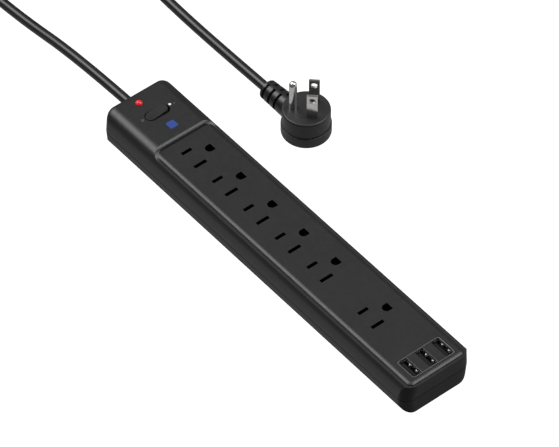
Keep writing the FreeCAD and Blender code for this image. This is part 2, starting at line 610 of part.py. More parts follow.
def make_cord_coil():
    """The outer shape of the put-away turns, a ring of rounded section."""
    r_in, r_out = COIL_R_IN - CORD_D / 2, COIL_R_OUT + CORD_D / 2
    z0 = COIL_LOW - CORD_D / 2
    z1 = z0 + (COIL_LAYERS - 1) * LAYER_RISE + CORD_D
    section = rounded_wire(r_in, r_out, z0, z1, 0, 3.0)
    section.rotate(V(0, 0, 0), X_AXIS, 90)
    ring = Part.Face(section).revolve(V(0, 0, 0), Z_AXIS, 360)
    ring.translate(V(COIL_X, COIL_Y, 0))
    return ring


def make_coil_tie(side):
    """A strap round the bundle of turns, on the coil's near side or, turned half round, its far side."""
    r_in, r_out = COIL_R_IN - CORD_D / 2 - 0.1, COIL_R_OUT + CORD_D / 2 + 0.1
    z0 = COIL_LOW - CORD_D / 2 - 0.1
    z1 = z0 + (COIL_LAYERS - 1) * LAYER_RISE + CORD_D + 0.2
    loops = []
    for grow in (TIE_T, 0.0):
        wire = rounded_wire(r_in - grow, r_out + grow, z0 - grow, z1 + grow, 0, 3.0 + grow)
        wire.rotate(V(0, 0, 0), X_AXIS, 90)
        loops.append(Part.Face(wire).extrude(V(0, TIE_W, 0)))
    strap = loops[0].cut(loops[1])
    strap.translate(V(0, -TIE_W / 2, 0))
    strap.rotate(V(0, 0, 0), Z_AXIS, side * 180)
    strap.translate(V(COIL_X, COIL_Y, 0))
    return strap.cut(make_cord_coil())


def plug_point(along, across, z):
    """A point on the plug: along points from its axis away from the ground pin, across to the left blade."""
    c = math.sqrt(0.5)
    return V(PLUG_X + c * (along - across), PLUG_Y + c * (along + across), z)


def make_plug_body():
    body = cylinder(PLUG_X, PLUG_Y, BACK_H + PLUG_SEAM, PLUG_H, PLUG_R)
    body = round_edges(body, 1.2, lambda e: in_band(e, "z", PLUG_H))
    neck = cylinder(PLUG_X, PLUG_Y, BACK_H, BACK_H + PLUG_SEAM, PLUG_R - PLUG_NECK)
    return body.fuse(neck).cut(relief_core(0.0)).cut(blade_holes()).removeSplitter()


def relief_core(grow):
    """A cone that lies on the table, from the cord up to the plug's middle."""
    cone = Part.makeCone(RELIEF_R0 + grow, RELIEF_R1 + grow, PLUG_X - 6 - RELIEF_X0,
                         V(RELIEF_X0, PLUG_Y, 0), X_AXIS)
    slope = math.degrees(math.atan((RELIEF_R1 - RELIEF_R0) / (PLUG_X - 6 - RELIEF_X0)))
    cone.rotate(V(RELIEF_X0, PLUG_Y, 0), Y_AXIS, -slope)
    cone.translate(V(0, 0, RELIEF_R0 + 0.1))
    return cone


def make_plug_relief():
    """The ribbed strain relief, with grooves in each side that let it bend."""
    relief = relief_core(0.0).cut(cylinder(PLUG_X, PLUG_Y, -1, BACK_H, BACK_R)).cut(blade_holes())
    for i in range(3):
        for side, shift in ((-1, 0.0), (1, 2.8)):
            x = RELIEF_X0 + 1.4 + 5.6 * i + shift
            ring = Part.makeCylinder(12, 2.0, V(x, PLUG_Y, 6.6), X_AXIS)
            ring = ring.cut(Part.makeCylinder(4.9, 2.0, V(x, PLUG_Y, 6.6), X_AXIS))
            low, high = sorted((PLUG_Y + side * 0.8, PLUG_Y + side * 14))
            if x + 2.0 < PLUG_X - PLUG_R:
                relief = relief.cut(ring.common(box(x, x + 2.0, low, high, 2.0, 30)))
    return relief


def make_plug_back():
    back = cylinder(PLUG_X, PLUG_Y, 0, BACK_H, BACK_R)
    back = round_edges(back, 1.4, lambda e: in_band(e, "z", 0))
    return round_edges(back, 0.5, lambda e: in_band(e, "z", BACK_H))


def blade_solid(across):
    """A flat folded blade with a hole near its chamfered tip."""
    z0, z1 = PLUG_H - 4.0, PLUG_H + BLADE_L
    blade = box(-BLADE_W / 2, BLADE_W / 2, -BLADE_T / 2, BLADE_T / 2, z0, z1)
    blade = blade.makeChamfer(0.45, [e for e in blade.Edges if in_band(e, "z", z1)])
    blade = blade.cut(Part.makeCylinder(2.0, 6, V(0, -3, z1 - 4.4), Y_AXIS))
    blade.rotate(V(0, 0, 0), Z_AXIS, 45)
    blade.translate(plug_point(BLADE_MID, across * BLADE_GAP / 2, 0))
    return blade


def pin_solid():
    foot = plug_point(BLADE_MID - PIN_GAP, 0, 0)
    top = PLUG_H + PIN_L
    pin = cylinder(foot.x, foot.y, PLUG_H - 4.0, top - PIN_R, PIN_R)
    return pin.fuse(Part.makeSphere(PIN_R, V(foot.x, foot.y, top - PIN_R))).removeSplitter()


def blade_holes():
    """What the blades and pin take out of the plug's body."""
    return Part.makeCompound([blade_solid(-1), blade_solid(1), pin_solid()])


def make_leads():
    """The cores inside the housing: cord to switch, switch to live bus, and the two other bus bars."""
    tail = X_CORD + CORD_TAIL + 0.2
    bus_x = OUTLET_XS[0]
    return {
        "live_lead": [(tail, 1.5, 12.4), (-123.9, 1.4, 11.4), (-123.3, 1.1, 8.4), (-121.2, 0.5, 6.9),
                      (ROCKER_X - 1.7, 0.0, 6.9)],
        "load_lead": [(ROCKER_X, 6.2, 7.0), (-114.8, 11.0, 7.2), (-110.5, 15.6, 7.6), (-103.0, 16.7, 8.4),
                      (-95.5, 16.2, 8.3), (-90.9, 9.5, 8.0), (-90.3, -3.0, 8.3), (-88.6, -9.2, 9.4),
                      (bus_x - 0.6, -10.7, 9.8)],
        "neutral_lead": [(tail, -1.4, 12.9), (-124.5, -3.6, 12.8), (-124.6, -10.9, 12.4),
                         (-119.8, -13.6, 12.0), (-112.0, -15.4, 11.4), (-103.0, -16.8, 11.2),
                         (-95.5, -15.0, 12.6), (-91.0, -8.0, 14.8), (-89.4, -1.5, 14.6),
                         (-85.5, 1.6, 12.4), (-79.0, 2.0, 10.0), (bus_x + 11.5, 1.9, 9.75)],
        "ground_lead": [(tail, -0.2, 15.4), (-124.2, 3.0, 15.2), (-123.3, 8.8, 14.4), (-119.8, 12.9, 13.6),
                        (-112.0, 15.6, 12.9), (-103.0, 17.4, 12.6), (-95.5, 17.2, 12.4), (-91.2, 11.6, 11.6),
                        (-86.5, 10.5, 9.0), (bus_x + 5.0, 10.7, 7.25)],
    }


def main():
    os.makedirs("parts", exist_ok=True)
    grounds = [x + BLADE_GAP / 2 for x in OUTLET_XS]
    neutrals = [x + BLADE_GAP for x in OUTLET_XS]
    nodes = {
        "upper_shell": make_upper_shell(),
        "lower_cover": make_lower_cover(),
        "socket_panel": make_socket_panel(),
        "usb_bezel": make_usb_bezel(),
        "usb_board": make_usb_board(),
        "usb_transformer": make_usb_transformer(),
        "usb_capacitors": make_usb_capacitors(),
        "insulator_tray": make_insulator_tray(),
        "live_busbar": make_busbar(OUTLET_XS, SLOT_Y, 0.85, 5.6, -12.0, -9.2, 8.0, 18.6),
        "neutral_busbar": make_busbar(neutrals, SLOT_Y, 0.85, 5.6, 0.6, 3.2, 8.0, 18.6),
        "ground_busbar": make_busbar(grounds, GROUND_Y, 2.3, 4.4, 9.6, 12.0, 5.5, 17.0),
        "rocker_button": make_rocker_button(),
        "rocker_axle": make_rocker_axle(),
        "switch_plunger": make_plunger(),
        "plunger_spring": make_plunger_spring(),
        "contact_lever": make_contact_lever(),
        "supply_terminal": make_switch_terminal(0.0, LEVER_Z - LEVER_RIB_R - 0.05),
        "load_terminal": make_switch_terminal(5.6, LEVER_Z - 1.75),
        "switch_housing": make_switch_housing(),
        "indicator_lens": make_indicator_lens(),
        "indicator_lamp": make_indicator_lamp(),
        "cord_bushing": make_cord_bushing(),
        "cord_tail": make_cord_tail(),
        "cord_clamp": make_cord_clamp(),
        "clamp_base": make_clamp_base(),
        "clamp_screws": make_clamp_screws(),
        "housing_screws": make_housing_screws(),
        "surge_board": make_surge_board(),
        "thermal_fuse": make_thermal_fuse(),
        "cord_strip_side": tube("strip side", STRIP_ROUTE, CORD_D),
        "cord_plug_side": tube("plug side", PLUG_ROUTE, CORD_D),
        "cord_coil": make_cord_coil(),
        "coil_tie_outer": make_coil_tie(0),
        "coil_tie_inner": make_coil_tie(1),
        "plug_body": make_plug_body(),
        "plug_back": make_plug_back(),
        "plug_relief": make_plug_relief(),
        "plug_blade_left": blade_solid(1),
        "plug_blade_right": blade_solid(-1),
        "plug_ground_pin": pin_solid(),
    }
    for i, y in enumerate(PORT_YS, 1):
        nodes[f"usb_port_shell_{i}"] = make_port_shell(y)
        nodes[f"usb_port_tongue_{i}"] = make_port_tongue(y)
        nodes[f"usb_port_contacts_{i}"] = make_port_contacts(y)
    for i, y in enumerate((-10.0, 0.0, 10.0), 1):
        nodes[f"varistor_{i}"] = make_varistor(y)
    for name, route in make_leads().items():
        nodes[name] = tube(name, route, 2.2)
    for name, shape in nodes.items():
        if not shape.isValid():
            print("not valid:", name)
        shape.exportStep(f"parts/{name}.step")
    print(len(nodes), "nodes")


main()
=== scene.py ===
"""The looks of a black power strip: its cord, marks, materials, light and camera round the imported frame."""

import math

import bmesh
import bpy
from mathutils import Matrix, Vector
from mathutils.geometry import tessellate_polygon


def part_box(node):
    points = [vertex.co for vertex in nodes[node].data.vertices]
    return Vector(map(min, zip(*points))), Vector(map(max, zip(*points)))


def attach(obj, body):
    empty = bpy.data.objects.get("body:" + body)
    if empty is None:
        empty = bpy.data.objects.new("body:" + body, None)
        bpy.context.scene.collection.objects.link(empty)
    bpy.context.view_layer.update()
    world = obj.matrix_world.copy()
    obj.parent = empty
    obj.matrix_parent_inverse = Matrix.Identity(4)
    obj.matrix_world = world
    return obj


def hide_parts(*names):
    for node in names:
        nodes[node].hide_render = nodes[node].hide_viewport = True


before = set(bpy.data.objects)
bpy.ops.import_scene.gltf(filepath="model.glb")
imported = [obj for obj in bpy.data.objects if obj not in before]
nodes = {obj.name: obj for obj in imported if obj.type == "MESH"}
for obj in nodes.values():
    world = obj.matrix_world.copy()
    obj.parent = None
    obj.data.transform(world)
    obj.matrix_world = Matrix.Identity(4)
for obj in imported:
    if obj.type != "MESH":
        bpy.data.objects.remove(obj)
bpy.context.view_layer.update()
MM = 0.001


def mm(x, y, z):
    """A point of the row frame given in millimetres."""
    return Vector((x, y, z)) * MM


# Camera

scene = bpy.context.scene
scene.view_settings.view_transform = "Standard"
scene.view_settings.look = "None"

camera_data = bpy.data.cameras.new("camera")
camera_data.lens, camera_data.sensor_width = 320.54, 36.0
camera_data.clip_start, camera_data.clip_end = 0.05, 20.0
camera = bpy.data.objects.new("camera", camera_data)
scene.collection.objects.link(camera)
camera_right = Vector((0.63237, 0.77471, -0.00115)).normalized()
camera_back = Vector((0.5237, -0.4264, 0.7375)).normalized()
camera_up = camera_back.cross(camera_right).normalized()
turn = Matrix((camera_right, camera_up, camera_back)).transposed()
camera.matrix_world = Matrix.Translation(mm(1480.64, -1208.27, 2116.04)) @ turn.to_4x4()
scene.camera = camera

# The cord: out of the strip, its put-away length in a tied coil, and back to the plug

CORD_D = 6.3
CORD_EXIT = (-137.6, 0.0, 13.55)
COIL_X, COIL_Y, COIL_LOW = -303.0, 37.7, 4.5
COIL_R_OUT, COIL_R_IN, LAYER_RISE, COIL_LAYERS = 41.5, 31.0, 6.4, 4
TURNS, POINTS_PER_TURN = 6.5, 16
RISE_TURNS = 0.25         # how much of a turn the cord takes to climb to the next layer
STRIP_ROUTE = [CORD_EXIT, (-191.0, -0.2, 12.6), (-247.0, -2.6, 5.6), (-303.0, -3.8, 4.5)]
PLUG_ROUTE = [(-104.8, 74.0, 6.4), (-146.0, 74.5, 4.7), (-189.0, 75.4, 3.35), (-232.0, 76.9, 4.2),
              (-266.0, 79.4, 16.6), (-303.0, 79.2, 23.7)]


def coil_points():
    """The coil's turns, clockwise, wound in and out again layer on layer."""
    layer_turns = TURNS / COIL_LAYERS
    # a spline of order 3 runs inside its points, so these lie a little further out
    widen = 1 / (0.75 + 0.25 * math.cos(2 * math.pi / POINTS_PER_TURN))
    points = []
    for i in range(1, int(TURNS * POINTS_PER_TURN)):
        turns = i / POINTS_PER_TURN
        layer = min(int(turns / layer_turns), COIL_LAYERS - 1)
        along = turns / layer_turns - layer
        inward = along if layer % 2 == 0 else 1 - along
        radius = (COIL_R_OUT + (COIL_R_IN - COIL_R_OUT) * inward) * widen
        climb = max(0.0, (along - 1) * layer_turns / RISE_TURNS + 1) if layer < COIL_LAYERS - 1 else 0.0
        climb = climb * climb * (3 - 2 * climb)      # eased at both ends
        angle = -math.pi / 2 - 2 * math.pi * turns
        points.append((COIL_X + radius * math.cos(angle), COIL_Y + radius * math.sin(angle),
                       COIL_LOW + LAYER_RISE * (layer + climb)))
    return points


def nurbs_tube(name, points, diameter):
    """A round tube along a smooth spline; each point's radius is the tube's, in metres."""
    curve = bpy.data.curves.new(name, "CURVE")
    curve.dimensions = "3D"
    curve.bevel_depth = 1.0
    curve.bevel_resolution = 8
    curve.resolution_u = 10
    curve.use_fill_caps = True
    spline = curve.splines.new("NURBS")
    spline.points.add(len(points) - 1)
    for point, place in zip(spline.points, points):
        point.co = (*mm(*place), 1.0)
        point.radius = diameter / 2 * MM
    spline.order_u = 3
    spline.use_endpoint_u = True
    tube = bpy.data.objects.new(name, curve)
    scene.collection.objects.link(tube)
    return tube


TIE_NODES = ["coil_tie_outer", "coil_tie_inner"]
mains_cord = nurbs_tube("mains_cord", STRIP_ROUTE + coil_points() + PLUG_ROUTE[::-1], CORD_D)
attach(mains_cord, "strip")
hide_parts("cord_strip_side", "cord_coil", "cord_plug_side")

# Print on the housing, painted highlights round the USB bezel and along the ports' far rims, and the ports'
# springs

HEAD_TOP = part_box("upper_shell")[1][2] / MM
PANEL_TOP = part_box("socket_panel")[1][2] / MM
ROCKER_X = (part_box("rocker_button")[0][0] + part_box("rocker_button")[1][0]) / 2 / MM
PRINT_AND_HIGHLIGHT_DEPTH = 0.03        # how far print and the painted highlight lines stand off the plastic
CORNER_STEPS, RING_STEPS = 8, 48


def arc(x, y, radius, start, end, steps):
    """Points of an arc, from one angle to another in degrees."""
    angles = [math.radians(start + (end - start) * i / steps) for i in range(steps + 1)]
    return [(x + radius * math.cos(a), y + radius * math.sin(a)) for a in angles]


def rounded_box(x0, x1, y0, y1, radius):
    """Outline of a rectangle with round corners."""
    corners = ((x1 - radius, y1 - radius, 0), (x0 + radius, y1 - radius, 90),
               (x0 + radius, y0 + radius, 180), (x1 - radius, y0 + radius, 270))
    return [point for x, y, start in corners for point in arc(x, y, radius, start, start + 90, CORNER_STEPS)]


def mesh_piece(name, mesh):
    """A piece of the strip from a finished bmesh."""
    bmesh.ops.recalc_face_normals(mesh, faces=mesh.faces)
    data = bpy.data.meshes.new(name)
    mesh.to_mesh(data)
    mesh.free()
    piece = bpy.data.objects.new(name, data)
    scene.collection.objects.link(piece)
    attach(piece, "strip")
    return piece


def flat_print_and_highlight(name, shapes, z):
    """Flat print, and flat painted highlight lines, on the strip: each shape is an outer outline and, for a
    ring, an inner one.
    """
    mesh = bmesh.new()
    low, high = z * MM, (z + PRINT_AND_HIGHLIGHT_DEPTH) * MM
    for outer, inner in shapes:
        count = len(outer)
        levels = [[mesh.verts.new((x * MM, y * MM, height)) for x, y in outer] for height in (low, high)]
        for i in range(count):
            j = (i + 1) % count
            mesh.faces.new((levels[0][i], levels[0][j], levels[1][j], levels[1][i]))
        if inner is None:
            for a, b, c in tessellate_polygon([[Vector((x, y, 0)) for x, y in outer]]):
                mesh.faces.new((levels[1][a], levels[1][b], levels[1][c]))
                mesh.faces.new((levels[0][c], levels[0][b], levels[0][a]))
            continue
        inside = [[mesh.verts.new((x * MM, y * MM, height)) for x, y in inner] for height in (low, high)]
        for i in range(count):
            j = (i + 1) % count
            mesh.faces.new((inside[0][j], inside[0][i], inside[1][i], inside[1][j]))
            mesh.faces.new((levels[1][i], levels[1][j], inside[1][j], inside[1][i]))
            mesh.faces.new((levels[0][j], levels[0][i], inside[0][i], inside[0][j]))
    mesh_piece(name, mesh)


def disc(x, y, radius):
    """Outline of a circle."""
    return arc(x, y, radius, 0, 360 - 360 / RING_STEPS, RING_STEPS - 1)


def bar(x, y, length_x, length_y):
    """Outline of a rectangle round its middle."""
    dx, dy = length_x / 2, length_y / 2
    return [(x - dx, y - dy), (x + dx, y - dy), (x + dx, y + dy), (x - dx, y + dy)]


DOT_X, DOT_Y, DOT_R = ROCKER_X - 0.7, 9.75, 0.82
ON_X, ON_Y, OFF_X, OFF_Y = ROCKER_X, 12.4, ROCKER_X - 0.3, -10.6
MARK_SIZE, STROKE = 1.7, 0.3
flat_print_and_highlight("switch_dot", [(disc(DOT_X, DOT_Y, DOT_R), None)], HEAD_TOP)
flat_print_and_highlight("on_mark", [(bar(ON_X, ON_Y, STROKE, MARK_SIZE), None)], HEAD_TOP)
flat_print_and_highlight("off_mark", [(disc(OFF_X, OFF_Y, MARK_SIZE / 2),
                      disc(OFF_X, OFF_Y, MARK_SIZE / 2 - STROKE))], HEAD_TOP)

# A plain blue patch where a maker's sign would be
PATCH_X, PATCH_Y, PATCH_HALF, PATCH_R = -102.9, 0.8, 2.8, 0.9
flat_print_and_highlight("blue_patch", [(rounded_box(PATCH_X - PATCH_HALF, PATCH_X + PATCH_HALF,
                                    PATCH_Y - PATCH_HALF, PATCH_Y + PATCH_HALF, PATCH_R), None)], HEAD_TOP)

PORT_NUMBERS = (1, 2, 3)
BEZEL_LOW, BEZEL_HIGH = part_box("usb_bezel")
# Painted highlight: light grey lines on the bezel stand in for glints along its edges and the ports' far rims
INSET_CORD_END, INSET_USB_END, INSET_SIDES = 0.15, 0.05, 0.10
HIGHLIGHT_X0, HIGHLIGHT_X1 = BEZEL_LOW[0] / MM + INSET_CORD_END, BEZEL_HIGH[0] / MM - INSET_USB_END
HIGHLIGHT_Y0, HIGHLIGHT_Y1 = BEZEL_LOW[1] / MM + INSET_SIDES, BEZEL_HIGH[1] / MM - INSET_SIDES
HIGHLIGHT_WIDTH, HIGHLIGHT_R = 0.30, 1.5
PORTS = [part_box(f"usb_port_shell_{i}") for i in PORT_NUMBERS]
RIM_HIGHLIGHT_WIDTH, RIM_HIGHLIGHT_OFF = 0.22, 0.32      # a painted highlight along the far rim of each port
highlight_lines = [(rounded_box(HIGHLIGHT_X0, HIGHLIGHT_X1, HIGHLIGHT_Y0, HIGHLIGHT_Y1, HIGHLIGHT_R),
                rounded_box(HIGHLIGHT_X0 + HIGHLIGHT_WIDTH, HIGHLIGHT_X1 - HIGHLIGHT_WIDTH,
                            HIGHLIGHT_Y0 + HIGHLIGHT_WIDTH, HIGHLIGHT_Y1 - HIGHLIGHT_WIDTH, HIGHLIGHT_R - HIGHLIGHT_WIDTH))]
for low, high in PORTS:
    rim_y = high[1] / MM + RIM_HIGHLIGHT_OFF
    highlight_lines.append((bar((low[0] + high[0]) / 2 / MM, rim_y, (high[0] - low[0]) / MM, RIM_HIGHLIGHT_WIDTH), None))
flat_print_and_highlight("port_edge_highlights", highlight_lines, BEZEL_HIGH[2] / MM)

# Two sprung tin fingers on the far wall of each port, which press on the plug

SPRING_STEPS, SPRING_WIDTH, SPRING_HEIGHT = 10, 1.4, 2.4
SPRING_BULGE, SPRING_TIN, SPRING_SPACING = 1.05, 0.15, 5.75
SPRING_DROP = 1.0         # how far the fingers start below the port's mouth
PORT_WALL = 0.3           # thickness of the port's shell


def port_springs():
    """Fingers that bow out from the wall, as closed strips."""
    mesh = bmesh.new()
    for low, high in PORTS:
        middle_x = (low[0] + high[0]) / 2 / MM
        wall_y, top_z = high[1] / MM - PORT_WALL, high[2] / MM - SPRING_DROP
        for x in (middle_x - SPRING_SPACING / 2, middle_x + SPRING_SPACING / 2):
            rings = []
            for i in range(SPRING_STEPS + 1):
                along = i / SPRING_STEPS
                y = wall_y - SPRING_TIN - (SPRING_BULGE - SPRING_TIN) * math.sin(math.pi * along)
                z = top_z - SPRING_HEIGHT * along
                corners = [(x - SPRING_WIDTH / 2, y), (x + SPRING_WIDTH / 2, y),
                           (x + SPRING_WIDTH / 2, y + SPRING_TIN), (x - SPRING_WIDTH / 2, y + SPRING_TIN)]
                rings.append([mesh.verts.new(mm(cx, cy, z)) for cx, cy in corners])
            for above, below in zip(rings, rings[1:]):
                for k in range(4):
                    n = (k + 1) % 4
                    face = mesh.faces.new((above[k], above[n], below[n], below[k]))
                    face.smooth = k in (0, 2)
            mesh.faces.new(rings[0])
            mesh.faces.new(rings[-1][::-1])
    mesh_piece("port_springs", mesh)


port_springs()

# Materials

NOISE_SPAN = (0.3, 0.7)   # the values that nearly all of a noise lies between
# painted shade: the colour that stands in for the dark inside the holes
HOLE_SHADE_BLACK = (0.0005, 0.0005, 0.0005, 1.0)
PLAIN_SPECULAR = 0.5      # the shader's own level
MIX_FACTOR, MIX_A, MIX_B, MIX_RESULT = 0, 6, 7, 2      # a Mix node's sockets when it mixes colours


class Shader:
    """A new node material with one Principled shader; its textures are placed in millimetres."""

    def __init__(self, name, color, roughness, **sockets):
        self.material = bpy.data.materials.new(name)
        self.material.use_nodes = True
        self.tree = self.material.node_tree
        self.main = self.tree.nodes["Principled BSDF"]
        self.color = color
        self.main.inputs["Base Color"].default_value = (*color, 1.0)
        self.main.inputs["Roughness"].default_value = roughness
        for socket, value in sockets.items():
            self.main.inputs[socket.replace("_", " ")].default_value = value
        place = self.add("ShaderNodeTexCoord")
        scale = self.add("ShaderNodeVectorMath", operation="SCALE")
        scale.inputs["Scale"].default_value = 1 / MM
        self.link(place.outputs["Object"], scale.inputs[0])
        self.place = scale.outputs[0]

    def add(self, kind, **settings):
        node = self.tree.nodes.new(kind)
        for key, value in settings.items():
            setattr(node, key, value)
        return node

    def link(self, output, socket):
        self.tree.links.new(output, socket)

    def noise(self, size, detail=3.0, stretch=None):
        """Noise whose grains are about size millimetres across."""
        place = self.place
        if stretch:
            squeeze = self.add("ShaderNodeVectorMath", operation="MULTIPLY")
            squeeze.inputs[1].default_value = stretch
            self.link(place, squeeze.inputs[0])
            place = squeeze.outputs[0]
        noise = self.add("ShaderNodeTexNoise")
        noise.inputs["Scale"].default_value = 1.0 / size
        noise.inputs["Detail"].default_value = detail
        self.link(place, noise.inputs["Vector"])
        return noise.outputs["Fac"]

    def ramp(self, value, low, high, out_low, out_high):
        """Maps a range of values to another and stops at its ends."""
        node = self.add("ShaderNodeMapRange")
        for socket, number in (("From Min", low), ("From Max", high),
                               ("To Min", out_low), ("To Max", out_high)):
            node.inputs[socket].default_value = number
        self.link(value, node.inputs["Value"])
        return node.outputs["Result"]

    def vary_roughness(self, value, low, high):
        """Lets noise move the roughness between two values."""
        self.link(self.ramp(value, *NOISE_SPAN, low, high), self.main.inputs["Roughness"])
        return self

    def vary_color(self, value, other):
        """Lets noise mix the colour with another."""
        mix = self.add("ShaderNodeMix", data_type="RGBA")
        mix.inputs[MIX_A].default_value = (*self.color, 1.0)
        mix.inputs[MIX_B].default_value = (*other, 1.0)
        self.link(self.ramp(value, *NOISE_SPAN, 0.0, 1.0), mix.inputs[MIX_FACTOR])
        self.link(mix.outputs[MIX_RESULT], self.main.inputs["Base Color"])
        return self

    def paint_hole_shade(self, below, half_y, end_x):
        """Painted shade: dead black colour and no specular under a height in millimetres, away from the
        part's outer edges, standing in for the shade inside the holes.
        """
        split = self.add("ShaderNodeSeparateXYZ")
        self.link(self.place, split.inputs[0])
        side = self.add("ShaderNodeMath", operation="ABSOLUTE")
        self.link(split.outputs["Y"], side.inputs[0])
        inside = None
        for value, limit in ((split.outputs["Z"], below), (side.outputs[0], half_y),
                             (split.outputs["X"], end_x)):
            test = self.add("ShaderNodeMath", operation="LESS_THAN")
            test.inputs[1].default_value = limit
            self.link(value, test.inputs[0])
            if inside is None:
                inside = test.outputs[0]
                continue
            both = self.add("ShaderNodeMath", operation="MULTIPLY")
            self.link(inside, both.inputs[0])
            self.link(test.outputs[0], both.inputs[1])
            inside = both.outputs[0]
        self.link(self.ramp(inside, 0.0, 1.0, PLAIN_SPECULAR, 0.0), self.main.inputs["Specular IOR Level"])
        mix = self.add("ShaderNodeMix", data_type="RGBA")
        source = self.main.inputs["Base Color"].links[0].from_socket
        self.link(inside, mix.inputs[MIX_FACTOR])
        self.link(source, mix.inputs[MIX_A])
        mix.inputs[MIX_B].default_value = HOLE_SHADE_BLACK
        self.link(mix.outputs[MIX_RESULT], self.main.inputs["Base Color"])
        return self

    def bump(self, value, depth, strength=1.0):
        """Relief of the given depth in millimetres."""
        node = self.add("ShaderNodeBump")
        node.inputs["Distance"].default_value = depth * MM
        node.inputs["Strength"].default_value = strength
        self.link(value, node.inputs["Height"])
        self.link(node.outputs["Normal"], self.main.inputs["Normal"])
        return self

    def on(self, *names):
        """Puts the material on CAD nodes or Blender pieces by name."""
        for name in names:
            mesh = nodes[name].data if name in nodes else bpy.data.objects[name].data
            mesh.materials.clear()
            mesh.materials.append(self.material)
        return self


BLACK = (0.0115, 0.0115, 0.0120)
BLACK_WORN = (0.0145, 0.0145, 0.0150)
ROCKER_BLACK = (0.0070, 0.0070, 0.0074)
PLASTIC_IOR = 1.5
HOLE_SHADE_DEPTH = 0.25         # how far under the surface the holes' walls are painted dead black as shade
HOLES_HALF_Y, HOLES_END_X = 17.5, 133.0


def moulded_black(name, roughness=0.35, grain=0.35, depth=0.012, color=BLACK, **sockets):
    """Black moulded plastic with the fine spark-eroded grain of its mould."""
    shader = Shader(name, color, roughness, IOR=PLASTIC_IOR, **sockets)
    shader.vary_color(shader.noise(14.0, 4.0), BLACK_WORN)
    shader.vary_roughness(shader.noise(3.0, 5.0), roughness - 0.02, roughness + 0.03)
    shader.bump(shader.noise(grain, 2.0), depth, 0.5)
    return shader


moulded_black("housing_black").on("upper_shell", "lower_cover")
panel = moulded_black("panel_black", grain=0.3).on("socket_panel")
# painted shade: the walls inside the outlet slots are coloured dead black
panel.paint_hole_shade(PANEL_TOP - HOLE_SHADE_DEPTH, HOLES_HALF_Y, HOLES_END_X)
bezel = moulded_black("bezel_black", roughness=0.36, grain=0.25, depth=0.006).on("usb_bezel")
# painted shade: the walls inside the USB openings are coloured dead black
bezel.paint_hole_shade(BEZEL_HIGH[2] / MM - HOLE_SHADE_DEPTH, HOLES_HALF_Y, HOLES_END_X)
moulded_black("rocker_black", roughness=0.40, grain=0.3, depth=0.008, color=ROCKER_BLACK,
              Specular_IOR_Level=0.24).on("rocker_button")
moulded_black("plug_black", roughness=0.42, grain=0.3, depth=0.010).on("plug_body", "plug_back")


def jacket():
    """Soft, slightly glossy vinyl of the cord and its relief."""
    shader = Shader("cord_jacket", (0.012, 0.012, 0.0125), 0.28, IOR=PLASTIC_IOR)
    shader.vary_color(shader.noise(5.0, 3.0), (0.016, 0.016, 0.0165))
    shader.vary_roughness(shader.noise(2.0, 4.0), 0.25, 0.31)
    shader.bump(shader.noise(0.6, 3.0), 0.012, 0.4)
    return shader


jacket().on("mains_cord", "cord_bushing", "cord_tail", "plug_relief")


METAL_SHADE = 0.86        # how dark a metal's darker patches are


def metal(name, color, roughness, scratch=(1.0, 1.0, 0.12), depth=0.004):
    """Plated or rolled metal with fine lengthwise marks."""
    shader = Shader(name, color, roughness, Metallic=1.0)
    marks = shader.noise(0.25, 4.0, scratch)
    shader.vary_color(shader.noise(2.5, 4.0), tuple(METAL_SHADE * c for c in color))
    shader.vary_roughness(marks, max(0.05, roughness - 0.06), roughness + 0.08)
    shader.bump(marks, depth, 0.4)
    return shader


metal("nickel_prongs", (0.90, 0.89, 0.87), 0.16, depth=0.0015).on(
    "plug_blade_left", "plug_blade_right", "plug_ground_pin")
metal("tin_plate", (0.62, 0.62, 0.63), 0.28).on(*[f"usb_port_shell_{i}" for i in PORT_NUMBERS])
metal("spring_tin", (0.36, 0.36, 0.37), 0.28, depth=0.001).on("port_springs")
metal("gilt_contacts", (0.86, 0.80, 0.66), 0.25).on(*[f"usb_port_contacts_{i}" for i in PORT_NUMBERS])
metal("brass_strip", (0.72, 0.52, 0.22), 0.32, (0.12, 1.0, 1.0)).on(
    "live_busbar", "neutral_busbar", "ground_busbar", "contact_lever", "supply_terminal", "load_terminal")
metal("zinc_plate", (0.55, 0.56, 0.57), 0.35).on(
    "rocker_axle", "plunger_spring", "clamp_screws", "housing_screws")
metal("capacitor_can", (0.50, 0.50, 0.52), 0.38).on("usb_capacitors")


def plain(name, color, other, roughness, size=2.0, grain=0.4, depth=0.01, **sockets):
    """A dull material with two close shades and a fine surface."""
    shader = Shader(name, color, roughness, **sockets)
    shader.vary_color(shader.noise(size, 4.0), other)
    shader.vary_roughness(shader.noise(size * 0.4, 4.0), roughness - 0.04, roughness + 0.06)
    shader.bump(shader.noise(grain, 3.0), depth, 0.5)
    return shader


plain("natural_nylon", (0.62, 0.60, 0.52), (0.68, 0.66, 0.58), 0.5, 8.0).on("insulator_tray")
plain("switch_black", (0.004, 0.004, 0.004), (0.006, 0.006, 0.006), 0.5, 8.0).on("switch_housing")
plain("white_ink", (0.80, 0.80, 0.78), (0.70, 0.70, 0.68), 0.55, 0.8).on("switch_dot")
plain("worn_ink", (0.15, 0.15, 0.15), (0.10, 0.10, 0.10), 0.6, 0.6).on("on_mark", "off_mark")
plain("blue_ink", (0.012, 0.042, 0.23), (0.015, 0.05, 0.27), 0.5, 1.0).on("blue_patch")
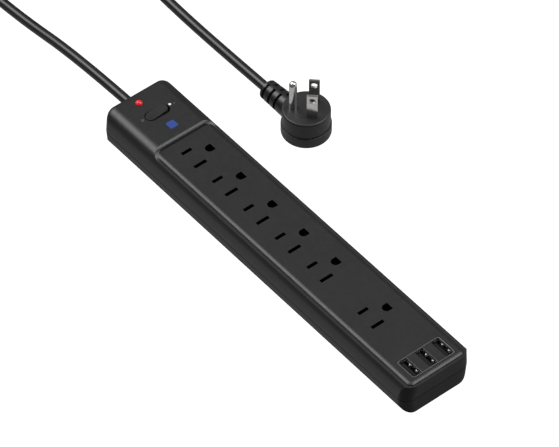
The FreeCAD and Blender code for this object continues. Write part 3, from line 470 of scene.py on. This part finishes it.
# painted highlight: the grey colour of these lines stands in for glints on edges
plain("painted_highlight_grey", (0.16, 0.16, 0.16), (0.11, 0.11, 0.11), 0.4, 1.0).on("port_edge_highlights")
plain("acetal", (0.78, 0.78, 0.75), (0.84, 0.84, 0.81), 0.4).on("switch_plunger")
plain("board_lacquer", (0.015, 0.11, 0.04), (0.02, 0.15, 0.06), 0.3, 1.2).on("usb_board", "surge_board")
plain("ferrite", (0.045, 0.045, 0.05), (0.065, 0.065, 0.07), 0.6, 0.8).on("usb_transformer")
plain("epoxy_dip", (0.02, 0.07, 0.28), (0.03, 0.10, 0.36), 0.28, 1.5).on(
    "varistor_1", "varistor_2", "varistor_3")
plain("ceramic", (0.74, 0.73, 0.69), (0.80, 0.79, 0.75), 0.35).on("thermal_fuse")
plain("clamp_plastic", (0.08, 0.08, 0.08), (0.10, 0.10, 0.10), 0.5).on("cord_clamp", "clamp_base")
plain("black_insulation", (0.012, 0.012, 0.012), (0.02, 0.02, 0.02), 0.42).on("live_lead", "load_lead")
plain("white_insulation", (0.75, 0.75, 0.73), (0.80, 0.80, 0.78), 0.42).on("neutral_lead")
plain("green_insulation", (0.01, 0.16, 0.04), (0.015, 0.2, 0.05), 0.42).on("ground_lead")
plain("port_insulator", (0.005, 0.005, 0.005), (0.008, 0.008, 0.008), 0.5, Specular_IOR_Level=0.2).on(
    *[f"usb_port_tongue_{i}" for i in PORT_NUMBERS])
plain("tie_weave", (0.012, 0.012, 0.012), (0.03, 0.03, 0.032), 0.85, 0.7, 0.5, 0.15).on(*TIE_NODES)


def red_lens():
    """Clear red plastic with the lamp's light in it."""
    shader = Shader("red_lens", (0.62, 0.006, 0.012), 0.30, IOR=1.49, Coat_Weight=0.3, Coat_Roughness=0.12)
    shader.vary_color(shader.noise(1.2, 2.0), (0.70, 0.02, 0.03))
    shader.main.inputs["Emission Color"].default_value = (1.0, 0.012, 0.03, 1.0)
    shader.main.inputs["Emission Strength"].default_value = 0.13
    return shader


red_lens().on("indicator_lens")
plain("lamp_glass", (0.95, 0.75, 0.6), (0.9, 0.7, 0.55), 0.1, Alpha=0.5).on("indicator_lamp")

# Light: a soft studio far away. A lobe is (direction, inner degrees, outer degrees, strength).

STUDIO_BASE = 0.130
LOBES = [((-0.52, 0.07, 0.85), 6, 27, 0.30),        # along the top
         ((-0.52, -0.26, 0.81), 6, 27, 5.30),       # over the long edge beside the slots
         ((-0.08, 0.43, 0.90), 6, 27, 0.50),        # towards the outlets
         ((0.31, 0.43, 0.85), 6, 27, 4.90),         # over the edges that face the USB end
         ((-0.52, -0.77, -0.36), 6, 27, 0.185),     # low, on the long side
         ((-0.52, -0.43, -0.74), 6, 27, 0.28),      # lower still, on the same side
         ((0.52, 0.43, -0.74), 6, 27, 0.06),        # low, on the USB end
         ((0.45, 0.89, -0.05), 8, 32, 0.90),        # behind, for the side with the plug
         ((-0.95, -0.10, 0.30), 8, 32, 0.70)]       # on the cord end


def studio():
    """The lobes light the strip; beyond the floor a camera sees plain white."""
    world = bpy.data.worlds.new("studio")
    scene.world = world
    world.use_nodes = True
    tree = world.node_tree
    tree.nodes.clear()
    place = tree.nodes.new("ShaderNodeTexCoord")

    def lobe(direction, inner, outer, strength):
        """Light from round a direction, full within inner degrees and gone beyond outer."""
        dot = tree.nodes.new("ShaderNodeVectorMath")
        dot.operation = "DOT_PRODUCT"
        dot.inputs[1].default_value = Vector(direction).normalized()
        tree.links.new(place.outputs["Generated"], dot.inputs[0])
        fade = tree.nodes.new("ShaderNodeMapRange")
        fade.interpolation_type = "SMOOTHSTEP"
        fade.inputs["From Min"].default_value = math.cos(math.radians(outer))
        fade.inputs["From Max"].default_value = math.cos(math.radians(inner))
        fade.inputs["To Max"].default_value = strength
        tree.links.new(dot.outputs["Value"], fade.inputs["Value"])
        return fade.outputs["Result"]

    def background():
        node = tree.nodes.new("ShaderNodeBackground")
        node.inputs["Color"].default_value = (1.0, 1.0, 1.0, 1.0)
        return node

    total = lobe(*LOBES[0])
    for spec in LOBES[1:]:
        add = tree.nodes.new("ShaderNodeMath")
        tree.links.new(total, add.inputs[0])
        tree.links.new(lobe(*spec), add.inputs[1])
        total = add.outputs[0]
    base = tree.nodes.new("ShaderNodeMath")
    base.inputs[1].default_value = STUDIO_BASE
    tree.links.new(total, base.inputs[0])
    lit, seen = background(), background()
    tree.links.new(base.outputs[0], lit.inputs["Strength"])
    path = tree.nodes.new("ShaderNodeLightPath")
    mix = tree.nodes.new("ShaderNodeMixShader")
    out = tree.nodes.new("ShaderNodeOutputWorld")
    tree.links.new(path.outputs["Is Camera Ray"], mix.inputs[0])
    tree.links.new(lit.outputs[0], mix.inputs[1])
    tree.links.new(seen.outputs[0], mix.inputs[2])
    tree.links.new(mix.outputs[0], out.inputs["Surface"])


studio()


def glowing_sheet(name, material, low, high, depth, strength):
    """A level white sheet a little under the strip, which casts no shadow and lights nothing dull."""
    mesh = bpy.data.meshes.new(name)
    mesh.from_pydata([(low[0], low[1], 0), (high[0], low[1], 0), (high[0], high[1], 0), (low[0], high[1], 0)],
                     [], [(0, 1, 2, 3)])
    sheet = bpy.data.objects.new(name, mesh)
    scene.collection.objects.link(sheet)
    sheet.location.z = -depth
    shader = Shader(material, (0.0, 0.0, 0.0), 1.0, Specular_IOR_Level=0.0)
    shader.main.inputs["Emission Color"].default_value = (1.0, 1.0, 1.0, 1.0)
    shader.main.inputs["Emission Strength"].default_value = strength
    shader.on(name)
    sheet.visible_diffuse = False
    sheet.visible_transmission = False
    sheet.visible_shadow = False
    return sheet


# The floor that the camera sees, and the part of the table that the plug's prongs and sides mirror
FLOOR_HALF, FLOOR_DEPTH, FLOOR_GLOW = 6.0, 0.0002, 1.15
TABLE_LOW, TABLE_HIGH, TABLE_DEPTH, TABLE_GLOW = (-0.100, 0.010), (0.060, 0.130), 0.0001, 0.42
floor = glowing_sheet("floor", "floor_white", (-FLOOR_HALF, -FLOOR_HALF), (FLOOR_HALF, FLOOR_HALF),
                      FLOOR_DEPTH, FLOOR_GLOW)
floor.visible_glossy = False
table_card = glowing_sheet("table_card", "table_white", TABLE_LOW, TABLE_HIGH, TABLE_DEPTH, TABLE_GLOW)
table_card.visible_camera = False

bpy.context.view_layer.update()
